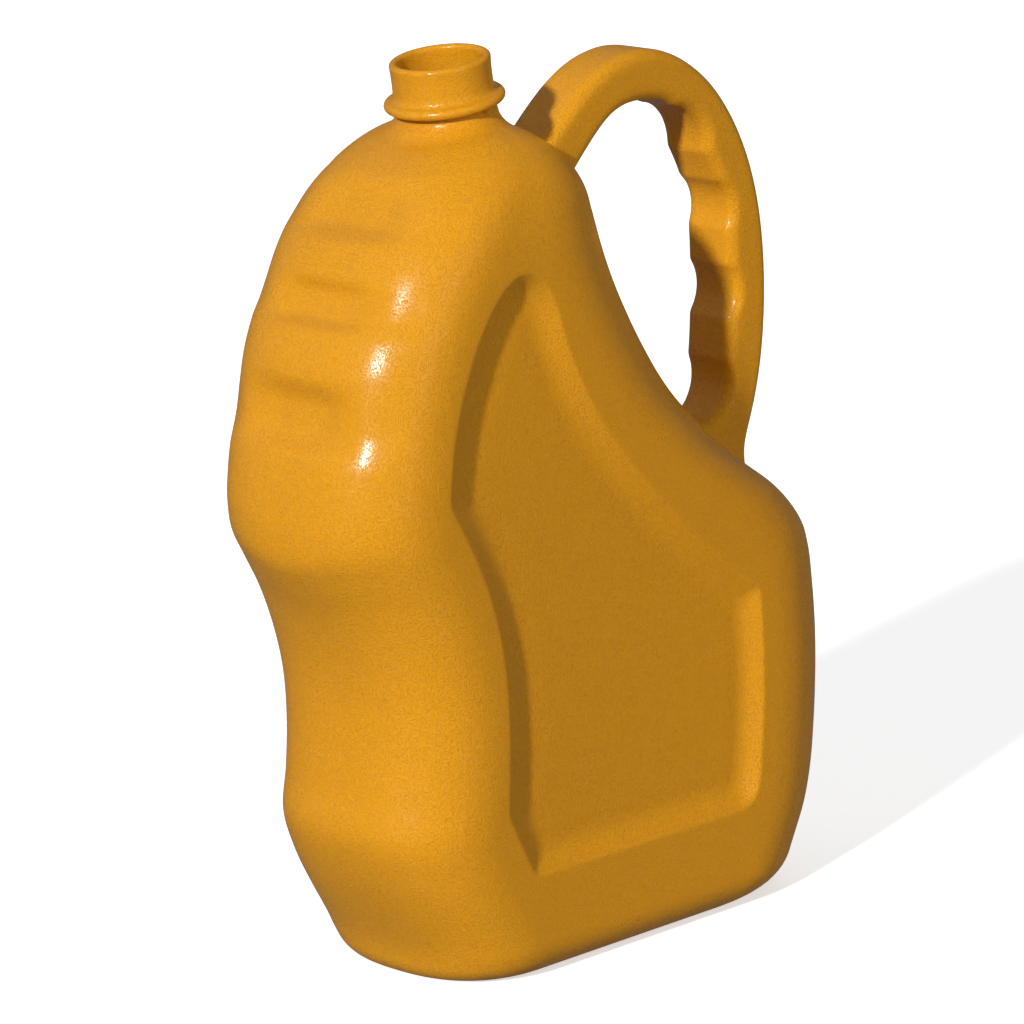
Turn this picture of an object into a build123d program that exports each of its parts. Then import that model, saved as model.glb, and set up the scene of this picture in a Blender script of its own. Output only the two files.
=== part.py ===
"""Blow-moulded oil jug: hollow body, pouring neck and loop handle.

Frame: the origin is on the floor under the middle of the label panel's mid plane. Z is up,
X runs along the broad side (grip front at -X, handle at +X) and Y is the thickness.
All sizes are in millimetres.
"""
import os
from math import cos, radians, sin

from build123d import *

# ---- body -------------------------------------------------------------------------------
WALL = 1.8                  # moulded wall
HALF_THICK = 47.5           # half of the broad-side thickness
FRONT_CAP = 38.0            # length of the rounded front end of a level section
FRONT_FULL = 0.688          # handle ratio of the front curve, squarer than an ellipse
BACK_CAP = 55.0             # length of the rounded back end of a level section
BACK_FULL = 0.58            # handle ratio of the back curve, close to an ellipse
BASE_FILLET = 6.0           # rounding where the base meets the wall
TOP_FILLET = 6.0            # rounding of the shoulder's top around the neck boss
TOP_WALL = 4.0              # the shoulder's top is thicker, behind its rounding

# Level stations: height, front edge, back edge, share of the half thickness.
STATIONS = (
    (0.0, -62.0, 128.0, 0.80),
    (6.0, -68.5, 136.0, 0.93),
    (11.0, -71.3, 139.3, 0.983),
    (18.0, -74.8, 142.0, 0.998),
    (28.0, -80.5, 146.0, 1.00),
    (40.0, -87.0, 149.0, 1.00),
    (61.0, -94.8, 152.5, 1.00),
    (95.0, -92.7, 153.2, 1.00),
    (125.0, -97.0, 149.8, 1.00),
    (142.0, -103.5, 144.5, 1.00),
    (160.0, -113.3, 127.0, 1.00),
    (178.0, -121.3, 99.5, 1.00),
    (196.0, -121.2, 78.5, 1.00),
    (220.0, -117.0, 56.5, 1.00),
    (245.0, -109.5, 39.0, 1.00),
    (268.0, -97.5, 26.5, 0.995),
    (286.0, -85.5, 19.0, 0.955),
    (300.0, -74.0, 11.5, 0.84),
    (309.0, -63.0, 1.0, 0.665),
)

GROOVE_R = 17.0             # radius of a finger groove
GROOVE_DEPTH = 2.6          # depth on the centre line
# Finger grooves in the front grip: height, front edge there, backward lean of the front in degrees.
GROOVES = ((218.0, -117.4, 16.0), (256.0, -104.2, 27.0), (287.0, -84.8, 39.0))

# ---- recessed panel on each broad side ------------------------------------------------------
PANEL_DEPTH = 4.0           # floor below the broad side
PANEL_LIFT = 0.8            # the cutter starts this far outside the broad side
PANEL_RUN = 10.8            # width of the sloping wall, lift included
PANEL_CORNER = 4.5          # corner rounding of the outline

# ---- neck -----------------------------------------------------------------------------------
NECK_TILT = 10.0            # forward lean of the neck axis
NECK_X = -36.1              # centre of the bead flange
NECK_Z = 323.7
BORE_R = 15.5               # clear pouring bore
COLLAR_R = 18.3             # outside of the plain collar
COLLAR_TOP = 15.6           # lip height above the flange centre
LIP_R = (COLLAR_R - BORE_R) / 2     # full round lip
FLANGE_R = 22.1             # outside of the bead flange
FLANGE_HALF = 2.6           # half thickness of the flange
BEAD = 2.3                  # how far the rounded rim of the flange stands out
STEP_R = 19.5               # small ring on top of the flange
STEP_H = 1.3
SPIGOT_R = 17.4             # spigot that seats in the body throat
SPIGOT_LEN = 11.0           # spigot length below the flange
BOSS_R = 19.6               # body boss around the throat
BOSS_TOP = -FLANGE_HALF     # boss face that carries the flange
BOSS_ROOT = -22.0           # depth of the boss below the flange centre
BOSS_ROOT_R = 28.9          # radius of the flared boss at its root, inside the shoulder

# ---- handle ---------------------------------------------------------------------------------
HANDLE_HALF = 12.0          # half of the handle width
HANDLE_EDGE = 4.5           # edge rounding of the handle
HANDLE_WALL = 2.4
SCALLOP_R = 15.0            # finger scallops on the inner side
SCALLOP_LIP = 6.0           # softened lips between the scallops
SCALLOPS = ((86, 290), (98, 263), (101, 233), (98.5, 200))      # scallop axes, X and Z
LIPS = (78, 116, 182, 308)  # where the lips are in the side view: X from and to, Z from and to

TILT = radians(NECK_TILT)
NECK_ORIGIN = (NECK_X, 0.0, NECK_Z)
NECK_UP = (-sin(TILT), 0.0, cos(TILT))
NECK_PROFILE = Plane(origin=NECK_ORIGIN, x_dir=(cos(TILT), 0, sin(TILT)), z_dir=(0, -1, 0))
NECK_AXIS = Axis(origin=NECK_ORIGIN, direction=NECK_UP)
SIDE = Plane.XZ             # drawing plane of the side view, seen from the broad side


def level_section(height, front, back, half):
    """One closed level section: full front curve, straight sides, rounder back curve."""
    length = back - front
    front_cap = min(FRONT_CAP, 0.42 * length)
    back_cap = min(BACK_CAP, 0.50 * length)
    with BuildSketch(Plane.XY.offset(height)) as section:
        with BuildLine():
            for side in (-1, 1):
                w = side * half
                Bezier(
                    (front, 0),
                    (front, FRONT_FULL * w),
                    (front + front_cap * (1 - FRONT_FULL), w),
                    (front + front_cap, w),
                )
                Line((front + front_cap, w), (back - back_cap, w))
                Bezier(
                    (back - back_cap, w),
                    (back - back_cap * (1 - BACK_FULL), w),
                    (back, BACK_FULL * w),
                    (back, 0),
                )
        make_face()
    return section


def outer_form():
    """The body as a solid block, before it is hollowed."""
    with BuildPart() as form:
        for height, front, back, share in STATIONS:
            add(level_section(height, front, back, HALF_THICK * share).sketch)
        loft()
        base_edges = form.edges().group_by(Axis.Z)[0]
        fillet(base_edges, BASE_FILLET)
        top_edges = form.edges().group_by(Axis.Z)[-1]
        fillet(top_edges, TOP_FILLET)
    return form


def cavity_form():
    """The inside of the body, one wall in from the outside on every station."""
    with BuildPart() as form:
        for height, front, back, share in STATIONS:
            inset = WALL
            if GROOVES[0][0] - GROOVE_R < height < GROOVES[-1][0] + GROOVE_R:
                inset = 1.3 * (WALL + GROOVE_DEPTH)
            half = HALF_THICK * share - WALL
            level = min(max(height, WALL), STATIONS[-1][0] - TOP_WALL)
            add(level_section(level, front + inset, back - WALL, half).sketch)
        loft()
    return form


def panel_outline(plane, inset):
    """Side view of the recessed panel's cutter, moved inwards by inset."""
    with BuildSketch(plane) as outline:
        with BuildLine():
            Line((88, 39), (-39, 39))
            Line((-39, 39), (-55.4, 70))
            ThreePointArc((-55.4, 70), (-57.6, 126), (-85.6, 187.4))
            ThreePointArc((-85.6, 187.4), (-79.4, 225), (-58.4, 263))
            ThreePointArc((-58.4, 263), (-45, 268.8), (-31, 262))
            ThreePointArc((-31, 262), (12.4, 191.2), (89, 128.5))
            ThreePointArc((89, 128.5), (93, 84), (88, 39))
        make_face()
        if inset > 0:
            offset(amount=-inset)
        fillet(outline.vertices().sort_by(Axis.Y)[:-2], PANEL_CORNER)
    return outline


def panel_cut(surface):
    """Sloping-walled pocket for the broad side that lies at the given distance from the middle."""
    with BuildPart() as pocket:
        add(panel_outline(SIDE.offset(surface + PANEL_LIFT), 0).sketch)
        add(panel_outline(SIDE.offset(surface - PANEL_DEPTH), PANEL_RUN).sketch)
        loft()
        rim_face = pocket.faces().sort_by(Axis.Y)[0]
        extrude(rim_face, amount=PANEL_DEPTH)
    return pocket


def handle_outline():
    """Side view of the loop handle with its finger scallops, on its near face."""
    with BuildSketch(SIDE.offset(HANDLE_HALF)) as outline:
        with BuildLine():
            outer_line = Spline(
                (5, 302),
                (24, 318.8),
                (62, 332.3),
                (106, 310.8),
                (129.5, 266),
                (133.9, 227),
                (127.2, 184.3),
                (119.5, 160),
            )
            inner_line = Spline(
                (93, 179),
                (107.5, 191),
                (111.6, 210),
                (111.4, 257),
                (97, 292),
                (62, 313),
                (36.5, 303.8),
                (15, 281),
            )
            Line(outer_line @ 1, inner_line @ 0)
            Line(inner_line @ 1, outer_line @ 0)
        make_face()
        with Locations(*SCALLOPS):
            Circle(SCALLOP_R, mode=Mode.SUBTRACT)
        lips = outline.vertices().filter_by(lambda v: LIPS[0] < v.X < LIPS[1])
        lips = lips.filter_by(lambda v: LIPS[2] < v.Y < LIPS[3])
        fillet(lips, SCALLOP_LIP)
    return outline


def handle_solid():
    """The handle without its hollow, all long edges rounded."""
    with BuildPart() as solid:
        add(handle_outline().sketch)
        extrude(amount=2 * HANDLE_HALF, dir=(0, 1, 0))
        near = solid.faces().sort_by(Axis.Y)[0].outer_wire().edges()
        far = solid.faces().sort_by(Axis.Y)[-1].outer_wire().edges()
        fillet(near + far, HANDLE_EDGE)
    return solid


def handle_hollow():
    """The space inside the handle: one wall in from the back, clear of the scallops, open ended."""
    with BuildPart() as hollow:
        with BuildSketch(SIDE.offset(HANDLE_HALF - HANDLE_WALL)):
            with BuildLine():
                outer_line = Spline(
                    (-4, 291),
                    (25.5, 316.8),
                    (62, 329.9),
                    (104.2, 309.2),
                    (127.2, 265.3),
                    (131.5, 227),
                    (125, 185),
                    (116, 153),
                )
                inner_line = Spline(
                    (98, 162),
                    (111.5, 181),
                    (116.5, 202),
                    (118.5, 233),
                    (115, 267),
                    (100, 302),
                    (62, 315.6),
                    (35, 306.5),
                    (6, 274),
                )
                Line(outer_line @ 1, inner_line @ 0)
                Line(inner_line @ 1, outer_line @ 0)
            make_face()
        extrude(amount=-2 * (HANDLE_HALF - HANDLE_WALL))
    return hollow


def groove_cut(height, edge, lean):
    """Finger groove across the front grip: a rod laid along Y that bites into the round front."""
    stand_off = GROOVE_R - GROOVE_DEPTH
    x = edge - stand_off * cos(radians(lean))
    z = height + stand_off * sin(radians(lean))
    with BuildPart() as rod:
        with Locations(Plane(origin=(x, 0, z), z_dir=(0, 1, 0))):
            Cylinder(radius=GROOVE_R, height=2 * HALF_THICK)
    return rod


def neck_boss():
    """Flared boss on the shoulder that carries the flange."""
    with BuildPart() as boss:
        with BuildSketch(NECK_PROFILE):
            with BuildLine():
                Polyline(
                    (0, BOSS_ROOT),
                    (BOSS_ROOT_R, BOSS_ROOT),
                    (BOSS_R, BOSS_TOP - 1),
                    (BOSS_R, BOSS_TOP),
                    (0, BOSS_TOP),
                    (0, BOSS_ROOT),
                )
            make_face()
        revolve(axis=NECK_AXIS)
    return boss


def throat(depth):
    """Round hole down the neck axis that takes the spigot."""
    with BuildPart() as hole:
        with BuildSketch(Plane(origin=NECK_ORIGIN, z_dir=NECK_UP).offset(BOSS_TOP)):
            Circle(SPIGOT_R)
        extrude(amount=-depth)
    return hole


# ---- bottle body ----------------------------------------------------------------------------
handle_outside = handle_solid()
handle_inside = handle_hollow()
side_panel = panel_cut(HALF_THICK)
panel_relief = panel_cut(HALF_THICK - WALL)

with BuildPart() as cavity:
    add(cavity_form().part)
    add(panel_relief.part, mode=Mode.SUBTRACT)
    add(mirror(panel_relief.part, about=Plane.XZ, mode=Mode.PRIVATE), mode=Mode.SUBTRACT)

with BuildPart() as bottle_body:
    add(outer_form().part)
    add(neck_boss().part)
    add(side_panel.part, mode=Mode.SUBTRACT)
    add(mirror(side_panel.part, about=Plane.XZ, mode=Mode.PRIVATE), mode=Mode.SUBTRACT)
    for groove in GROOVES:
        add(groove_cut(*groove).part, mode=Mode.SUBTRACT)
    add(cavity.part, mode=Mode.SUBTRACT)
    add(throat(2 * SPIGOT_LEN).part, mode=Mode.SUBTRACT)
    add(handle_outside.part, mode=Mode.SUBTRACT)

# ---- neck fitting ---------------------------------------------------------------------------
with BuildPart() as neck_fitting:
    with BuildSketch(NECK_PROFILE):
        with BuildLine():
            Polyline(
                (BORE_R, COLLAR_TOP - LIP_R),
                (BORE_R, -FLANGE_HALF - SPIGOT_LEN),
                (SPIGOT_R, -FLANGE_HALF - SPIGOT_LEN),
                (SPIGOT_R, -FLANGE_HALF),
                (FLANGE_R - BEAD, -FLANGE_HALF),
            )
            ThreePointArc((FLANGE_R - BEAD, -FLANGE_HALF), (FLANGE_R, 0), (FLANGE_R - BEAD, FLANGE_HALF))
            Polyline(
                (FLANGE_R - BEAD, FLANGE_HALF),
                (STEP_R, FLANGE_HALF),
                (STEP_R, FLANGE_HALF + STEP_H),
                (COLLAR_R, FLANGE_HALF + STEP_H),
                (COLLAR_R, COLLAR_TOP - LIP_R),
            )
            ThreePointArc(
                (COLLAR_R, COLLAR_TOP - LIP_R),
                ((COLLAR_R + BORE_R) / 2, COLLAR_TOP),
                (BORE_R, COLLAR_TOP - LIP_R),
            )
        make_face()
    revolve(axis=NECK_AXIS)

# ---- handle ---------------------------------------------------------------------------------
with BuildPart() as handle:
    add(handle_outside.part)
    add(handle_inside.part, mode=Mode.SUBTRACT)

# ---- export ---------------------------------------------------------------------------------
os.makedirs("parts", exist_ok=True)
bottle_body.part.label = "bottle_body"
export_step(bottle_body.part, "parts/bottle_body.step")
neck_fitting.part.label = "neck_fitting"
export_step(neck_fitting.part, "parts/neck_fitting.step")
handle.part.label = "handle"
export_step(handle.part, "parts/handle.step")
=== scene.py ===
"""Looks of the blow-moulded oil jug: a skinned bottle body, a tilted neck ring and a loop handle.

Everything is in metres in the CAD frame. Shapes are worked out in millimetres and scaled by MM.
"""

import math

import bmesh
import bpy
import numpy as np
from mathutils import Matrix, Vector
from mathutils.geometry import delaunay_2d_cdt


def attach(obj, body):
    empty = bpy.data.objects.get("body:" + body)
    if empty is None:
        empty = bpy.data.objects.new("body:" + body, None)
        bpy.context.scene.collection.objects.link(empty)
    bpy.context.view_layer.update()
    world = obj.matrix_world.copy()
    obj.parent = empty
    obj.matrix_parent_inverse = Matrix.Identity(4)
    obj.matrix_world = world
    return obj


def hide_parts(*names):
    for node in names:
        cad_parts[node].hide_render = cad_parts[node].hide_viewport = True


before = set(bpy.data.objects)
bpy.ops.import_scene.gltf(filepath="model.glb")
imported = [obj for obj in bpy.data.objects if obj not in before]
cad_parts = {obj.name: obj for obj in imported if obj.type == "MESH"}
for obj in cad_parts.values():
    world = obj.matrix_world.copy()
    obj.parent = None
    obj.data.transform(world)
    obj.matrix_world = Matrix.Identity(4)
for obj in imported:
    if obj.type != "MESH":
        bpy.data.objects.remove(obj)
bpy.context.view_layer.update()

MM = 0.001

# ---- body form, in millimetres -----------------------------------------------------------
HALF = 47.5                 # half thickness of the flat broad sides
FRONT_CAP = 38.0            # length of the rounded front end of a level section
FRONT_CAP_SHARE = 0.45      # but no more than this share of the section
FRONT_POWER = 2.5
BACK_CAP = 55.0             # the same at the back
BACK_CAP_SHARE = 0.5
BACK_POWER = 2.1
BASE_ROUND = 14.3           # rounding of the base edge
BASE_ROUND_FRONT = 7.0      # tighter at the front
DOME_Z = 264.0              # the shoulder starts to close here
DOME_H = 53.1
DOME_POWER = 2.75
DOME_SEARCH_LOW = 270.0     # the shoulder rings all lie above this
SHRINK_Z = 285.0            # from here the section also gets shorter
SHRINK_H = 32.1
SHRINK_X = -34.0
CREASE_RISE = 7.0           # the bulge's lower crease climbs this much from the front to the sides
CREASE_Z = 172.0
CREASE_SPREAD = 34.0
CREASE_SHARE = 0.85         # the climb is complete at this share of the half width

# Front and back of the body in side view: Z and X.
FRONT_LINE = (
    (0, -66.6), (7, -68.2), (14, -71.2), (21, -75.4), (28, -79.9), (45, -89.6), (60, -95.0),
    (76, -93.4), (95, -92.7), (115, -94.6), (135, -100.5), (150, -107.2),
    (162, -114.3), (172, -120.0), (182, -121.8),
    (195, -121.2), (210, -118.6), (225, -115.8), (240, -111.2), (255, -104.6), (270, -96.3),
    (285, -87.2), (295, -81.0), (306, -72.5), (317, -62.0),
)
BACK_LINE = (
    (0, 135.8), (7, 137.4), (14, 139.9), (22, 143.8), (30, 147.6), (45, 151.6), (60, 153.2),
    (80, 154.0), (100, 153.5), (120, 151.1), (134, 148.4), (142, 145.3),
    (150, 139.0), (160, 127.4), (168, 114.8),
    (176, 102.4), (184, 91.3), (193, 80.8), (202, 70.4), (212, 61.0), (225, 51.0), (240, 41.0),
    (255, 32.4), (270, 25.6), (285, 20.6), (300, 15.6), (317, 9.5),
)

# Finger grooves in the front grip: lower wall's height and width, upper wall's, depth.
GROOVES = (
    (209.5, 7.5, 228.5, 12.0, 5.6),
    (251.0, 4.4, 264.0, 8.5, 4.7),
    (281.0, 6.0, 296.0, 8.5, 5.6),
)
GROOVE_FULL = 8.0           # full depth out to this far from the middle
GROOVE_FADE = 31.0          # the crisp part is gone here
GROOVE_REACH = 37.0         # the soft rest keeps its depth out to here
GROOVE_END = 46.0           # and none from here
GROOVE_REST = 0.30          # share of the depth that the soft rest has
GROOVE_SOFT = 1.9           # its walls are this many times as wide
GROOVE_LEAN = 1.08          # the cut is made along X, this many times the stated depth

# Recessed label panel on each broad side: runs of X, Z points with corners between the runs.
PANEL_RUNS = (
    ((80.0, 40.8), (-38.6, 40.8)),
    ((-38.6, 40.8), (-46.6, 54.6), (-53.2, 67.0)),
    ((-53.2, 67.0), (-52.7, 92.0), (-55.3, 124.3), (-65.6, 156.4), (-84.0, 187.5)),
    ((-84.0, 187.5), (-80.9, 213.5), (-72.4, 238.0), (-58.4, 259.6), (-46.0, 266.7),
     (-34.0, 261.8), (-25.2, 245.0), (-4.3, 208.2), (22.5, 179.1), (58.8, 147.9), (88.3, 127.0)),
    ((88.3, 127.0), (91.2, 85.0), (89.9, 55.0), (87.0, 44.6), (80.0, 40.8)),
)
PANEL_CORNER = 10.0         # span over which the corners are rounded
PANEL_DEPTH = 4.5
PANEL_WALL = 7.8            # width of the sloping wall, more on the grip side
PANEL_WALL_GRIP = 3.8
PANEL_WALL_POWER = 0.7
PANEL_WALL_BLEND = 14.0     # span over which the wall changes its width
PANEL_EDGE = 0.10           # round at the border, as a share of the wall
PANEL_SLOPE = 1.06          # the wall reaches the floor a little before its full width
PANEL_FOOT = 0.36           # round at the foot, as a share of the wall
PANEL_DIP = 0.38            # the panel floor sinks this much more along the foot of its wall
PANEL_DIP_AT = 1.2          # place and spread of the dip, in wall widths
PANEL_DIP_SPREAD = 0.38
SPOT_START = 1.0            # the depth is averaged over a spot from this far inside the border
SPOT_GROWTH = 0.55
SPOT_MOST = 3.6
SPOT_TURNS = 10
PANEL_LOOPS = (-1.4, -0.6, 0.0, 0.45, 1.0, 1.8, 2.8, 4.0, 5.4, 7.0, 8.6, 10.4, 12.4, 14.6)
PATCH_LOW, PATCH_HIGH = 22.0, 275.0     # levels between which each side is one patch
PATCH_MIDDLE, ROWS_TOP = 200.0, 300.0
PATCH_BOW = 0.3
PATCH_PITCH = 4.0

# ---- neck, in millimetres, along an axis leaning forward ----------------------------------
NECK_TILT = math.radians(10.0)
NECK_AT = Vector((-36.1, 0.0, 323.7))
STUB_R = 17.9
STUB_TOP = -1.8
STUB_FILLET = 6.5
STUB_FOOT = -9.0
# Rim and throat of the stub: radius and height.
THROAT = ((16.2, STUB_TOP), (16.0, STUB_TOP - 0.6), (16.0, -14.0), (17.5, -20.0))
NECK_UP = np.array([-math.sin(NECK_TILT), 0.0, math.cos(NECK_TILT)])
NECK_FORE = np.array([math.cos(NECK_TILT), 0.0, math.sin(NECK_TILT)])
NECK_SIDE = np.array([0.0, 1.0, 0.0])
INNER_END = 6.4             # the inside skin keeps this far from the round ends
INNER_SIDE = 6.6            # and this far from the broad sides

# ---- handle, in millimetres: side view lines X, Z -----------------------------------------
HANDLE_HALF = 12.0
HANDLE_EDGE = 4.8
HANDLE_OUTER = (
    (-14.0, 286.0), (5.0, 302.0), (19.0, 314.6), (35.9, 326.3), (50.0, 331.2), (62.0, 332.3),
    (83.0, 327.2), (103.1, 313.9), (117.2, 296.6), (126.4, 278.0), (131.7, 259.0), (134.1, 240.0),
    (134.1, 217.0), (131.2, 196.5), (126.0, 179.5), (123.0, 169.5), (123.8, 161.0), (128.0, 152.0),
)
HANDLE_INNER = (
    (2.0, 262.0), (15.0, 281.0), (32.6, 300.3), (46.0, 310.2), (62.0, 313.0), (79.9, 308.7),
    (90.0, 299.6), (98.5, 289.0), (105.6, 277.0), (110.4, 262.0), (112.0, 246.0), (112.3, 222.0),
    (111.6, 208.0), (108.4, 194.5), (101.5, 186.5), (92.0, 178.5), (84.0, 168.0),
)
# Finger scallops on the inner side of the handle: X, Z and radius.
SCALLOPS = ((78.6, 288.7, 20.0), (97.6, 264.3, 15.0), (101.2, 233.2, 15.0), (98.6, 198.6, 15.0))
SCALLOP_SOFT = 1.0


def smooth_line(points):
    """Smooth cubic through the points, as a function of their first number."""
    z = np.array([p[0] for p in points], float)
    x = np.array([p[1] for p in points], float)
    h = np.diff(z)
    d = np.diff(x) / h
    m = np.empty_like(x)
    m[1:-1] = (d[:-1] * h[1:] + d[1:] * h[:-1]) / (h[1:] + h[:-1])
    m[0], m[-1] = d[0], d[-1]

    def at(q):
        q = np.asarray(q, float)
        k = np.clip(np.searchsorted(z, q) - 1, 0, len(h) - 1)
        t = np.clip((q - z[k]) / h[k], 0, 1)
        a = (1 + 2 * t) * (1 - t) ** 2
        b = t * (1 - t) ** 2
        c = t * t * (3 - 2 * t)
        e = t * t * (t - 1)
        return a * x[k] + b * h[k] * m[k] + c * x[k + 1] + e * h[k] * m[k + 1]

    return at


def step(t):
    t = np.clip(t, 0, 1)
    return t * t * (3 - 2 * t)


front_at = smooth_line(FRONT_LINE)
back_at = smooth_line(BACK_LINE)


def half_width(z):
    u = np.clip((z - DOME_Z) / DOME_H, 0, 1)
    w = HALF * (1 - u ** DOME_POWER) ** (1 / DOME_POWER)
    return w - base_inset(z, BASE_ROUND)


def base_inset(z, radius):
    q = np.clip(radius - z, 0, radius)
    return radius - np.sqrt(radius ** 2 - q ** 2)


def ends(z, share):
    """Front and back x of the level z, for a point at the given share of the half width."""
    rise = CREASE_RISE * np.exp(-((z - CREASE_Z) / CREASE_SPREAD) ** 2)
    warped = z + rise * (1 - step(share / CREASE_SHARE))
    front = front_at(warped) + base_inset(z, BASE_ROUND_FRONT)
    back = back_at(z) - base_inset(z, BASE_ROUND)
    k = np.sqrt(np.clip(1 - (np.clip(z - SHRINK_Z, 0, SHRINK_H) / SHRINK_H) ** 2, 0, 1))
    return SHRINK_X + (front - SHRINK_X) * k, SHRINK_X + (back - SHRINK_X) * k


def caps(length):
    """Lengths of the rounded front and back ends of a section."""
    return np.minimum(FRONT_CAP, FRONT_CAP_SHARE * length), np.minimum(BACK_CAP, BACK_CAP_SHARE * length)


def groove_wave(z, widen):
    """Summed groove sections by height, with walls that many times as wide."""
    depth = np.zeros(np.shape(z))
    for low_z, low_wall, high_z, high_wall, deep in GROOVES:
        low = step((z - low_z) / (low_wall * widen) + 0.5)
        high = step((z - high_z) / (high_wall * widen) + 0.5)
        depth = depth + deep * (low - high)
    return depth


def groove_depth(y, z):
    """How deep the front grip is cut at a height and a distance from the middle."""
    y = np.abs(y)
    crisp = (1 - GROOVE_REST) * (1 - step((y - GROOVE_FULL) / (GROOVE_FADE - GROOVE_FULL)))
    rest = GROOVE_REST * (1 - step((y - GROOVE_REACH) / (GROOVE_END - GROOVE_REACH)))
    return groove_wave(z, 1.0) * crisp + groove_wave(z, GROOVE_SOFT) * rest


def side_y(x, z):
    """Half thickness of the body where the broad side runs into its round ends."""
    front, back = ends(z, np.ones_like(z))
    front_cap, back_cap = caps(back - front)
    a = np.clip((front + front_cap - x) / front_cap, 0, 1)
    b = np.clip((x - back + back_cap) / back_cap, 0, 1)
    front_share = (1 - a ** FRONT_POWER) ** (1 / FRONT_POWER)
    back_share = (1 - b ** BACK_POWER) ** (1 / BACK_POWER)
    return half_width(z) * front_share * back_share


N_FRONT, N_SIDE, N_BACK = 40, 60, 40


def half_ring(z):
    """Points of one half of a level section, from the front middle to the back middle."""
    z = np.full(1, z, float)
    t = np.linspace(0, math.pi / 2, N_FRONT + 1)
    share = np.sin(t) ** (2 / FRONT_POWER)
    front, back = ends(z, share)
    front_cap, back_cap = caps(back - front)
    w = half_width(z)
    y = w * share
    x = front + front_cap * (1 - np.cos(t).clip(0) ** (2 / FRONT_POWER))
    x = x + GROOVE_LEAN * groove_depth(y, z)
    start = x[-1]
    stop = back[-1] - back_cap[-1]
    side = np.linspace(start, stop, N_SIDE + 1)[1:]
    q = np.linspace(math.pi / 2, 0, N_BACK + 1)[1:]
    bx = back[-1] - back_cap[-1] * (1 - np.cos(q).clip(0) ** (2 / BACK_POWER))
    by = w * np.sin(q).clip(0) ** (2 / BACK_POWER)
    xs = np.concatenate([x, side, bx])
    ys = np.concatenate([y, np.full(N_SIDE, w[0]), by])
    return xs, ys


def level_ring(z):
    """A closed ring: the -Y half from front to back, then the +Y half back to the front."""
    xs, ys = half_ring(z)
    x = np.concatenate([xs, xs[-2:0:-1]])
    y = np.concatenate([-ys, ys[-2:0:-1]])
    return np.stack([x, y, np.full(len(x), float(z))], 1)


def stitch(faces, lower, upper):
    """Quads between two closed rings of vertex numbers."""
    n = len(lower)
    for i in range(n):
        j = (i + 1) % n
        faces.append((lower[i], lower[j], upper[j], upper[i]))


def dome_z(x, y):
    """Height of the shoulder above a point of the plan, found by halving."""
    low = np.full(x.shape, DOME_SEARCH_LOW)
    high = np.full(x.shape, DOME_Z + DOME_H)
    for _ in range(30):
        mid = (low + high) / 2
        inside = side_y(x, mid) > np.abs(y)
        front, back = ends(mid, np.zeros_like(mid))
        inside &= (x > front) & (x < back)
        low = np.where(inside, mid, low)
        high = np.where(inside, high, mid)
    return low


def axis_frame(points):
    """Distance from the neck axis, height along it and the vector out from it."""
    rel = points - np.array(NECK_AT)
    along = rel @ NECK_UP
    radial = rel - along[:, None] * NECK_UP
    return np.linalg.norm(radial, axis=1), along, radial


def on_axis(radius, height, angle):
    """A point at a radius, height and turn round the neck axis."""
    angle = np.asarray(angle, float)[..., None]
    out = np.cos(angle) * NECK_FORE + np.sin(angle) * NECK_SIDE
    return np.array(NECK_AT) + height * NECK_UP + radius * out


# ---- recessed panel -----------------------------------------------------------------------
def curve(points, pitch):
    """Smooth run through the points, sampled at an even pitch, last point left out."""
    p = np.array(points, float)
    if len(p) == 2:
        p = np.array([p[0], p.mean(0), p[1]])
    s = np.concatenate([[0], np.cumsum(np.linalg.norm(np.diff(p, axis=0), axis=1))])
    n = len(p)
    a = np.zeros((n, n))
    r = np.zeros((n, 2))
    a[0, 0] = a[-1, -1] = 1.0
    h = np.diff(s)
    for i in range(1, n - 1):
        a[i, i - 1], a[i, i], a[i, i + 1] = h[i - 1], 2 * (h[i - 1] + h[i]), h[i]
        r[i] = 6 * ((p[i + 1] - p[i]) / h[i] - (p[i] - p[i - 1]) / h[i - 1])
    m = np.linalg.solve(a, r)
    q = np.linspace(0, s[-1], max(2, int(s[-1] / pitch)), endpoint=False)
    k = np.clip(np.searchsorted(s, q, side="right") - 1, 0, n - 2)
    t0, t1, hk = (q - s[k])[:, None], (s[k + 1] - q)[:, None], h[k][:, None]
    return (m[k] * t1 ** 3 + m[k + 1] * t0 ** 3) / (6 * hk) \
        + (p[k] / hk - m[k] * hk / 6) * t1 + (p[k + 1] / hk - m[k + 1] * hk / 6) * t0


def ring_average(values, span):
    """Moving average round a closed run, twice over, so that its corners turn smoothly."""
    k = max(1, int(span) | 1)
    kernel = np.ones(k) / k
    out = values
    for _ in range(2):
        padded = np.concatenate([out[-k:], out, out[:k]])
        out = np.stack([np.convolve(padded[:, i], kernel, "same")[k:-k] for i in range(out.shape[1])], 1)
    return out


PITCH = 0.4                 # spacing of the points along the panel outline
outline = np.concatenate([curve(run, PITCH) for run in PANEL_RUNS])
outline = ring_average(outline, PANEL_CORNER / 2 / PITCH)
tangent = np.roll(outline, -1, axis=0) - np.roll(outline, 1, axis=0)
tangent /= np.linalg.norm(tangent, axis=1)[:, None]
inward = np.stack([-tangent[:, 1], tangent[:, 0]], 1)
centroid = outline.mean(0)
if np.mean(np.sum((centroid - outline) * inward, 1)) < 0:
    inward = -inward
wall_width = PANEL_WALL + PANEL_WALL_GRIP * np.clip(inward[:, :1], 0, 1) ** PANEL_WALL_POWER
wall_width = ring_average(wall_width, PANEL_WALL_BLEND / PITCH)[:, 0]


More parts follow.
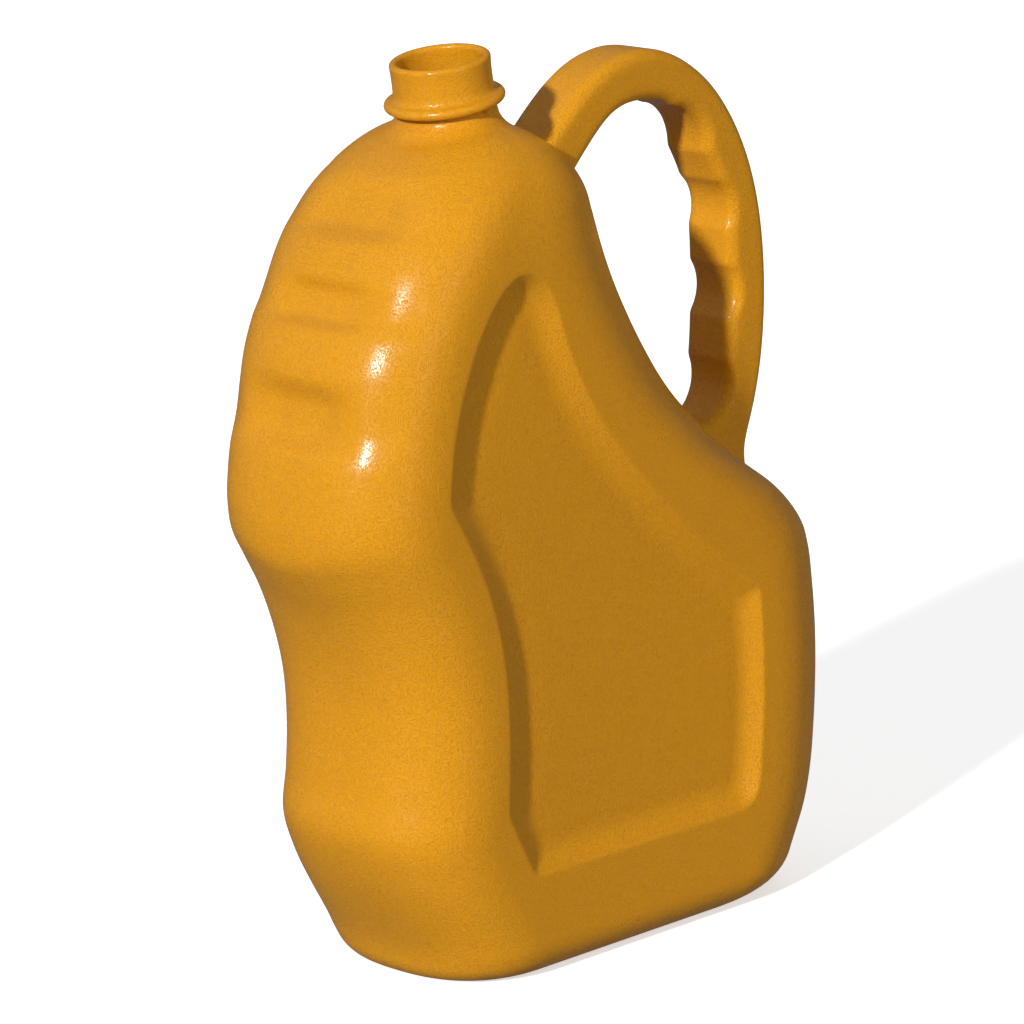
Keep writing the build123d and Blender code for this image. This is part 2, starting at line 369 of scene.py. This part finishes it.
def outline_distance(points):
    """Distance inside the panel outline, less than nothing outside, and the wall width there."""
    best = np.full(len(points), 1e9)
    near = np.zeros(len(points), int)
    for first in range(0, len(outline), 200):
        block = outline[first:first + 200]
        d = np.linalg.norm(points[:, None, :] - block[None], axis=2)
        k = d.argmin(1)
        dk = d[np.arange(len(points)), k]
        better = dk < best
        best[better] = dk[better]
        near[better] = k[better] + first
    sign = np.sign(np.sum((points - outline[near]) * inward[near], 1))
    return best * sign, wall_width[near]


def soft_min(a, b, k):
    h = np.clip(0.5 + 0.5 * (b - a) / k, 0, 1)
    return b * (1 - h) + a * h - k * h * (1 - h)


def panel_drop(distance, width):
    """Depth of the panel: a small round at the border, a straight wall, a softer foot, a dip."""
    s = distance / width
    ramp = -soft_min(-s, np.zeros_like(s), PANEL_EDGE)
    dip = PANEL_DIP * np.exp(-((s - PANEL_DIP_AT) / PANEL_DIP_SPREAD) ** 2)
    return PANEL_DEPTH * soft_min(ramp * PANEL_SLOPE, np.ones_like(s), PANEL_FOOT) + dip


def panel_depth(points):
    """Depth at the points, averaged over a spot that widens away from the crisp border."""
    distance, width = outline_distance(points)
    spot = np.clip((distance - SPOT_START) * SPOT_GROWTH, 0, SPOT_MOST)
    total = panel_drop(distance, width)
    for k in range(SPOT_TURNS):
        a = 2 * math.pi * k / SPOT_TURNS
        moved = points + spot[:, None] * np.array([math.cos(a), math.sin(a)])
        total = total + panel_drop(*outline_distance(moved))
    return total / (SPOT_TURNS + 1)


# ---- building the body mesh ---------------------------------------------------------------
def base_levels():
    turn = np.linspace(0, math.pi / 2, 15)
    return list(BASE_ROUND * (1 - np.cos(turn)))


def outer_levels():
    rows = base_levels()
    rows += list(np.linspace(BASE_ROUND, PATCH_LOW, 5)[1:])
    rows += list(np.linspace(PATCH_LOW, PATCH_MIDDLE, 112)[1:])
    rows += list(np.linspace(PATCH_MIDDLE, PATCH_HIGH, 76)[1:])
    rows += list(np.linspace(PATCH_HIGH, ROWS_TOP, 25)[1:])
    return rows


K_LEFT = N_FRONT - 9         # the panel patch starts inside the round front end
K_RIGHT = N_FRONT + N_SIDE + 5


def inside_polygon(points, polygon):
    x, y = points[:, 0], points[:, 1]
    inside = np.zeros(len(points), bool)
    j = len(polygon) - 1
    for i in range(len(polygon)):
        xi, yi = polygon[i]
        xj, yj = polygon[j]
        if yi != yj:
            cross = ((yi > y) != (yj > y)) & (x < (xj - xi) * (y - yi) / (yj - yi) + xi)
            inside ^= cross
        j = i
    return inside


def panel_patch(border):
    """Points X, Z and triangles that fill a border, close together along the panel's outline."""
    picks = np.arange(0, len(outline), 3)
    sets = []
    for offset in PANEL_LOOPS:
        loop = outline[picks] + inward[picks] * offset
        d, _ = outline_distance(loop)
        loop = loop[np.abs(d - offset) < 0.06]
        sets.append(loop)
    low, high = border.min(0), border.max(0)
    gx, gz = np.meshgrid(np.arange(low[0], high[0], PATCH_PITCH), np.arange(low[1], high[1], PATCH_PITCH))
    gx[1::2] += PATCH_PITCH / 2
    grid = np.stack([gx.ravel(), gz.ravel()], 1)
    d, _ = outline_distance(grid)
    sets.append(grid[(d > PANEL_LOOPS[-1] + 2.0) | (d < PANEL_LOOPS[0] - 2.2)])
    points = np.concatenate(sets)
    points = points[inside_polygon(points, border)]
    gap = np.full(len(points), 1e9)
    for first in range(0, len(border), 200):
        block = border[first:first + 200]
        gap = np.minimum(gap, np.linalg.norm(points[:, None] - block[None], axis=2).min(1))
    points = points[gap > 0.9]
    everything = np.concatenate([border, points])
    n = len(border)
    verts, _, tris, origin, _, _ = delaunay_2d_cdt(
        [Vector(p) for p in everything], [], [list(range(n))], 1, 1e-5, True)
    number = [min(o) if o else None for o in origin]
    flat = np.array([tuple(v) for v in verts])
    centres = np.array([flat[list(t)].mean(0) for t in tris])
    tris = [t for t, keep in zip(tris, inside_polygon(centres, border)) if keep]
    return flat, number, tris


def build_body():
    rows = outer_levels()
    rings = [level_ring(z) for z in rows]
    n = len(rings[0])
    verts = np.concatenate(rings)
    faces = []
    low = int(np.argmin(np.abs(np.array(rows) - PATCH_LOW)))
    high = int(np.argmin(np.abs(np.array(rows) - PATCH_HIGH)))
    right_side = range(K_LEFT, K_RIGHT)
    left_side = range(n - K_RIGHT, n - K_LEFT)
    for r in range(len(rows) - 1):
        for i in range(n):
            if low <= r < high and (i in right_side or i in left_side):
                continue
            j = (i + 1) % n
            faces.append((r * n + i, r * n + j, (r + 1) * n + j, (r + 1) * n + i))

    # Panels: the patch for the -Y side is worked out once and mirrored.
    loop = [low * n + i for i in range(K_LEFT, K_RIGHT)]
    loop += [r * n + K_RIGHT for r in range(low, high)]
    loop += [high * n + i for i in range(K_RIGHT, K_LEFT, -1)]
    loop += [r * n + K_LEFT for r in range(high, low, -1)]
    border = verts[loop][:, [0, 2]]
    # The level edges bow by a hair, because points in one line make slivers.
    for level, way in ((PATCH_LOW, -1), (PATCH_HIGH, 1)):
        edge = np.abs(border[:, 1] - level) < 1e-6
        x = border[edge, 0]
        across = (2 * x - x.max() - x.min()) / (x.max() - x.min())
        border[edge, 1] += way * PATCH_BOW * (1 - across ** 2)
    xz, number, tris = panel_patch(border)
    y = side_y(xz[:, 0], xz[:, 1]) - panel_depth(xz)
    extra = []
    for side in (-1, 1):
        index = []
        for k in range(len(xz)):
            o = number[k]
            if o is not None and o < len(loop):
                v = loop[o]
                if side > 0:
                    r, i = divmod(v, n)
                    v = r * n + (n - i) % n
                index.append(v)
            else:
                index.append(len(verts) + len(extra))
                extra.append((xz[k, 0], side * y[k], xz[k, 1]))
        for t in tris:
            f = tuple(index[k] for k in t)
            faces.append(f if side < 0 else f[::-1])
    verts = np.concatenate([verts, np.array(extra)])

    # Shoulder: rings that close from the last level onto the stub under the neck flange.
    top = (len(rows) - 1) * n
    last = verts[top:top + n]
    _, _, radial = axis_frame(last)
    angle = np.arctan2(radial[:, 1], radial @ NECK_FORE)
    foot = on_axis(STUB_R, STUB_FOOT, angle)
    previous = list(range(top, top + n))
    steps = 26
    for k in range(1, steps + 1):
        t = k / steps
        plan = last[:, :2] * (1 - t) + foot[:, :2] * t
        z = dome_z(plan[:, 0], plan[:, 1])
        p = np.column_stack([plan, z])
        rho, _, _ = axis_frame(p)
        reach = np.clip(STUB_R + STUB_FILLET - rho, 0, STUB_FILLET)
        lift = STUB_FILLET - np.sqrt(np.maximum(STUB_FILLET ** 2 - reach ** 2, 0))
        p[:, 2] += lift
        start = len(verts)
        verts = np.concatenate([verts, p])
        ring = list(range(start, start + n))
        stitch(faces, previous, ring)
        previous = ring

    # Stub wall up to the flange, its rim, and down the throat.
    _, along, _ = axis_frame(verts[previous])
    for share in (0.33, 0.66, 1.0):
        rise = along + (STUB_TOP - along) * share
        p = on_axis(STUB_R, 0.0, angle) + rise[:, None] * NECK_UP
        start = len(verts)
        verts = np.concatenate([verts, p])
        ring = list(range(start, start + n))
        stitch(faces, previous, ring)
        previous = ring
    for r_in, height in THROAT:
        p = on_axis(r_in, height, angle)
        start = len(verts)
        verts = np.concatenate([verts, p])
        ring = list(range(start, start + n))
        stitch(faces, previous, ring)
        previous = ring

    # Inside skin: coarse level rings clear of the panels, from the shoulder down to the floor.
    inner_rows = list(np.linspace(297.0, 264.0, 12)) + list(np.linspace(255.0, 30.0, 46))
    inner_rows += [24.0, 18.0, 12.0, 8.0, 5.0, 3.0]
    for z in inner_rows:
        p = level_ring(z)
        xs = p[:, 0]
        front, back = xs.min(), xs.max()
        grow = 1 - INNER_END / ((back - front) / 2)
        p[:, 0] = (front + back) / 2 + (xs - (front + back) / 2) * grow
        p[:, 1] *= 1 - INNER_SIDE / HALF
        start = len(verts)
        verts = np.concatenate([verts, p])
        ring = list(range(start, start + n))
        stitch(faces, previous, ring)
        previous = ring
    for ring, flip in ((previous, False), (list(range(n)), True)):
        verts = closing_disc(verts, faces, ring, flip)
    return mesh_from(verts, faces)


def closing_disc(verts, faces, ring, flip):
    """Closes a level ring with shrinking rings and a last row of quads; gives all vertices back."""
    base = verts[ring]
    mid_line = base.copy()
    half_len = (base[:, 0].max() - base[:, 0].min()) / 2
    centre_x = (base[:, 0].max() + base[:, 0].min()) / 2
    spine = np.clip(base[:, 0], centre_x - half_len * 0.55, centre_x + half_len * 0.55)
    mid_line[:, 0] = spine
    mid_line[:, 1] = 0.0
    previous = ring
    for t in (0.2, 0.4, 0.6, 0.8, 0.93):
        p = base * (1 - t) + mid_line * t
        start = len(verts)
        verts = np.concatenate([verts, p])
        new = list(range(start, start + len(ring)))
        stitch(faces, *((new, previous) if flip else (previous, new)))
        previous = new
    half = len(previous) // 2
    n = len(previous)
    for i in range(half):
        a, b = previous[i], previous[i + 1]
        c, d = previous[(n - i - 1) % n], previous[(n - i) % n]
        quad = [a, b, c, d] if i else [a, b, c]
        quad = list(dict.fromkeys(quad))
        if len(quad) > 2:
            faces.append(tuple(quad if not flip else quad[::-1]))
    return verts


def mesh_from(verts, faces):
    mesh = bpy.data.meshes.new("shape")
    mesh.from_pydata([tuple(v) for v in np.asarray(verts) * MM], [], faces)
    bm = bmesh.new()
    bm.from_mesh(mesh)
    bmesh.ops.remove_doubles(bm, verts=bm.verts, dist=1e-6)
    bmesh.ops.recalc_face_normals(bm, faces=bm.faces)
    bm.to_mesh(mesh)
    bm.free()
    mesh.shade_smooth()
    mesh.update()
    return mesh


# ---- neck ring ------------------------------------------------------------------------------
def arc(centre, radius, start, stop, count):
    a = np.radians(np.linspace(start, stop, count))
    return [(centre[0] + radius * math.cos(t), centre[1] + radius * math.sin(t)) for t in a]


NECK_SECTION = (
    [(16.6, -2.05), (18.4, -2.05)]
    + arc((20.3, -0.2), 1.85, -92, 78, 15)
    + [(20.2, 1.75), (19.6, 1.95), (19.1, 2.3), (18.7, 2.9), (18.45, 3.7), (18.3, 5.0),
       (18.25, 8.0), (18.3, 11.0), (18.4, 12.8)]
    + arc((16.95, 14.05), 1.55, -15, 178, 12)
    + [(15.5, 12.8), (15.6, 8.0), (15.6, 0.0), (15.5, -10.0), (15.4, -16.0), (16.5, -16.0), (16.6, -9.0)]
)
NECK_TURNS = 128


def build_neck():
    verts = []
    n = len(NECK_SECTION)
    for k in range(NECK_TURNS):
        a = 2 * math.pi * k / NECK_TURNS
        for r, h in NECK_SECTION:
            verts.append(on_axis(r, h, a))
    faces = []
    for k in range(NECK_TURNS):
        m = (k + 1) % NECK_TURNS
        for i in range(n):
            j = (i + 1) % n
            faces.append((k * n + i, m * n + i, m * n + j, k * n + j))
    return mesh_from(np.array(verts).reshape(-1, 3), faces)


# ---- handle ---------------------------------------------------------------------------------
STATIONS = 300              # sections along the handle
CORNER_POINTS = 7           # points on each rounded corner of a section


def even(points, count):
    """The line through the points at evenly spaced places."""
    dense = np.concatenate([curve(points, 0.25), [points[-1]]])
    s = np.concatenate([[0], np.cumsum(np.linalg.norm(np.diff(dense, axis=0), axis=1))])
    q = np.linspace(0, s[-1], count)
    return np.stack([np.interp(q, s, dense[:, 0]), np.interp(q, s, dense[:, 1])], 1)


def scalloped(line):
    out = line.copy()
    for x, z, radius in SCALLOPS:
        rel = out - np.array((x, z))
        d = np.linalg.norm(rel, axis=1)
        h = np.clip(0.5 + 0.5 * (d - radius) / SCALLOP_SOFT, 0, 1)
        new = radius * (1 - h) + d * h + SCALLOP_SOFT * h * (1 - h)
        out = np.array((x, z)) + rel * (new / d)[:, None]
    return out


def build_handle():
    outer = even(HANDLE_OUTER, STATIONS)
    line = even(HANDLE_INNER, 6 * STATIONS)
    near = np.linalg.norm(outer[:, None] - line[None], axis=2).argmin(1).astype(float)
    near[0], near[-1] = 0, len(line) - 1
    near = np.maximum.accumulate(near)
    pad = np.concatenate([np.full(30, near[0]), near, np.full(30, near[-1])])
    near = np.convolve(pad, np.hanning(31) / np.hanning(31).sum(), "same")[30:-30]
    inner = scalloped(line[np.round(near).astype(int)])
    verts, faces = [], []
    angles = np.linspace(0, math.pi / 2, CORNER_POINTS)
    for o, i in zip(outer, inner):
        across = np.array([o[0] - i[0], o[1] - i[1]])
        thick = np.linalg.norm(across)
        across /= thick
        r = min(HANDLE_EDGE, thick / 2 - 0.2)
        a, b = thick / 2 - r, HANDLE_HALF - r
        mid = (o + i) / 2
        ring = []
        for qx, qy, start in ((1, 1, 0), (-1, 1, 1), (-1, -1, 2), (1, -1, 3)):
            for t in angles:
                t = t + start * math.pi / 2
                ring.append((qx * a + r * math.cos(t), qy * b + r * math.sin(t)))
        section = subdivided(ring)
        for u, v in section:
            verts.append((mid[0] + across[0] * u, v, mid[1] + across[1] * u))
    size = len(section)
    for k in range(STATIONS - 1):
        a = [k * size + m for m in range(size)]
        b = [(k + 1) * size + m for m in range(size)]
        stitch(faces, a, b)
    faces.append(tuple(range(size))[::-1])
    faces.append(tuple((STATIONS - 1) * size + m for m in range(size)))
    return mesh_from(np.array(verts), faces)


def subdivided(ring):
    """Adds points on the straight stretches between the corners of a section."""
    out = []
    n = len(ring)
    for k in range(n):
        p, q = np.array(ring[k]), np.array(ring[(k + 1) % n])
        out.append(tuple(p))
        if k % CORNER_POINTS == CORNER_POINTS - 1:
            for m in (0.25, 0.5, 0.75):
                out.append(tuple(p + (q - p) * m))
    return out


# ---- material -------------------------------------------------------------------------------
def amber_plastic():
    """Moulded polyethylene: amber with slow and fine colour drift, fine grain, scuffed base."""
    m = bpy.data.materials.new("amber_plastic")
    m.use_nodes = True
    tree = m.node_tree
    tree.nodes.clear()
    new, link = tree.nodes.new, tree.links.new
    out = new("ShaderNodeOutputMaterial")
    shader = new("ShaderNodeBsdfPrincipled")
    link(shader.outputs["BSDF"], out.inputs["Surface"])
    place = new("ShaderNodeTexCoord").outputs["Object"]

    def noise(scale, detail, rough=0.5):
        n = new("ShaderNodeTexNoise")
        n.inputs["Scale"].default_value = scale
        n.inputs["Detail"].default_value = detail
        n.inputs["Roughness"].default_value = rough
        link(place, n.inputs["Vector"])
        return n.outputs["Fac"]

    def spread(value, low, high, to_low, to_high):
        r = new("ShaderNodeMapRange")
        r.interpolation_type = "SMOOTHSTEP"
        r.inputs["From Min"].default_value = low
        r.inputs["From Max"].default_value = high
        r.inputs["To Min"].default_value = to_low
        r.inputs["To Max"].default_value = to_high
        link(value, r.inputs["Value"])
        return r.outputs["Result"]

    def mix(fac, a, b):
        n = new("ShaderNodeMix")
        n.data_type = "RGBA"
        link(fac, n.inputs["Factor"])
        for socket, colour in ((n.inputs["A"], a), (n.inputs["B"], b)):
            if isinstance(colour, tuple):
                socket.default_value = (*colour, 1.0)
            else:
                link(colour, socket)
        return n.outputs["Result"]

    slow = spread(noise(9.0, 2.0), 0.3, 0.7, 0.0, 1.0)
    colour = mix(slow, (0.600, 0.246, 0.0050), (0.632, 0.264, 0.0062))
    fine = spread(noise(1900.0, 2.0, 0.6), 0.36, 0.64, 0.0, 1.0)
    colour = mix(fine, colour, (0.655, 0.282, 0.0078))
    specks = spread(noise(1300.0, 1.0), 0.60, 0.72, 0.0, 0.14)
    colour = mix(specks, colour, (0.40, 0.155, 0.003))

    split = new("ShaderNodeSeparateXYZ")
    link(place, split.inputs[0])
    low = spread(split.outputs["Z"], 0.0, 0.010, 1.0, 0.0)
    scuff = new("ShaderNodeMath")
    scuff.operation = "MULTIPLY"
    link(low, scuff.inputs[0])
    link(spread(noise(160.0, 5.0, 0.7), 0.48, 0.62, 0.0, 0.55), scuff.inputs[1])
    colour = mix(scuff.outputs[0], colour, (0.38, 0.195, 0.033))
    link(colour, shader.inputs["Base Color"])

    rough = new("ShaderNodeMath")
    rough.operation = "ADD"
    link(spread(noise(55.0, 4.0, 0.6), 0.3, 0.7, 0.22, 0.28), rough.inputs[0])
    link(spread(scuff.outputs[0], 0.0, 0.5, 0.0, 0.25), rough.inputs[1])
    link(rough.outputs[0], shader.inputs["Roughness"])

    grain = new("ShaderNodeBump")
    grain.inputs["Strength"].default_value = 1.0
    grain.inputs["Distance"].default_value = 0.00016
    link(spread(noise(1600.0, 2.0, 0.6), 0.50, 0.66, 0.0, 1.0), grain.inputs["Height"])
    ripple = new("ShaderNodeBump")
    ripple.inputs["Strength"].default_value = 0.25
    ripple.inputs["Distance"].default_value = 0.0006
    link(noise(42.0, 2.0, 0.4), ripple.inputs["Height"])
    link(grain.outputs["Normal"], ripple.inputs["Normal"])
    link(ripple.outputs["Normal"], shader.inputs["Normal"])
    shader.inputs["IOR"].default_value = 1.5
    shader.inputs["Specular IOR Level"].default_value = 0.33
    return m


def floor_paper():
    m = bpy.data.materials.new("floor_paper")
    m.use_nodes = True
    tree = m.node_tree
    shader = tree.nodes["Principled BSDF"]
    shader.inputs["Base Color"].default_value = (0.86, 0.86, 0.86, 1)
    shader.inputs["Roughness"].default_value = 0.9
    shader.inputs["Emission Color"].default_value = (1, 1, 1, 1)
    shader.inputs["Emission Strength"].default_value = 0.56
    return m


# ---- pieces ---------------------------------------------------------------------------------
plastic = amber_plastic()
for name, build, node in (
    ("bottle_shell", build_body, "bottle_body"),
    ("neck_ring", build_neck, "neck_fitting"),
    ("loop_handle", build_handle, "handle"),
):
    piece = bpy.data.objects.new(name, build())
    bpy.context.scene.collection.objects.link(piece)
    piece.data.materials.append(plastic)
    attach(piece, "root")
    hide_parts(node)

# ---- stage ----------------------------------------------------------------------------------
bm = bmesh.new()
bmesh.ops.create_circle(bm, cap_ends=True, segments=96, radius=9.0)
floor_mesh = bpy.data.meshes.new("floor")
bm.to_mesh(floor_mesh)
bm.free()
floor = bpy.data.objects.new("floor", floor_mesh)
floor.location.z = -0.0003
floor_mesh.materials.append(floor_paper())
bpy.context.scene.collection.objects.link(floor)
floor.visible_diffuse = False
floor.visible_glossy = False

# ---- light ----------------------------------------------------------------------------------
JUG_MIDDLE = Vector((0, 0, 0.17))
LAMP_DISTANCE = 2.5


def sun(name, energy, azimuth, elevation, width):
    """A sun that shines at the jug, in degrees; azimuth is the turn from -X towards -Y."""
    data = bpy.data.lights.new(name, "SUN")
    data.energy = energy
    data.angle = math.radians(width)
    o = bpy.data.objects.new(name, data)
    a, e = math.radians(azimuth), math.radians(elevation)
    way = Vector((-math.cos(a) * math.cos(e), -math.sin(a) * math.cos(e), math.sin(e)))
    o.location = JUG_MIDDLE + way * LAMP_DISTANCE
    o.rotation_euler = (-way).to_track_quat("-Z", "Y").to_euler()
    bpy.context.scene.collection.objects.link(o)
    return o


sun("key", 3.64, 15.5, 22.3, 3.0)
sun("rim", 0.28, -62.0, 32.0, 80.0)
fill = sun("fill", 0.98, 85.0, 15.0, 40.0)
fill.visible_glossy = False
back = sun("back", 0.50, -140.0, 30.0, 40.0)
back.visible_glossy = False

# The studio is dimmer in reflections than it shines.
world = bpy.data.worlds.new("studio")
bpy.context.scene.world = world
world.use_nodes = True
background = world.node_tree.nodes["Background"]
background.inputs["Color"].default_value = (1, 1, 1, 1)
ray = world.node_tree.nodes.new("ShaderNodeLightPath")
strength = world.node_tree.nodes.new("ShaderNodeMapRange")
strength.inputs["To Min"].default_value = 0.20
strength.inputs["To Max"].default_value = 0.12
world.node_tree.links.new(ray.outputs["Is Glossy Ray"], strength.inputs["Value"])
world.node_tree.links.new(strength.outputs["Result"], background.inputs["Strength"])

# ---- camera ---------------------------------------------------------------------------------
CAMERA_LENS, CAMERA_SENSOR = 180.0, 36.0
CAMERA_DISTANCE = 1.9072

camera_data = bpy.data.cameras.new("camera")
camera_data.lens = CAMERA_LENS
camera_data.sensor_width = CAMERA_SENSOR
camera = bpy.data.objects.new("camera", camera_data)
target = Vector((0.0, 0.0, 0.1644))
forward = Vector((0.7189, 0.6565, -0.2284)).normalized()
camera.location = target - forward * CAMERA_DISTANCE
camera.rotation_euler = forward.to_track_quat("-Z", "Y").to_euler()
bpy.context.scene.collection.objects.link(camera)
bpy.context.scene.camera = camera
bpy.context.scene.view_settings.view_transform = "Standard"

bpy.context.view_layer.update()
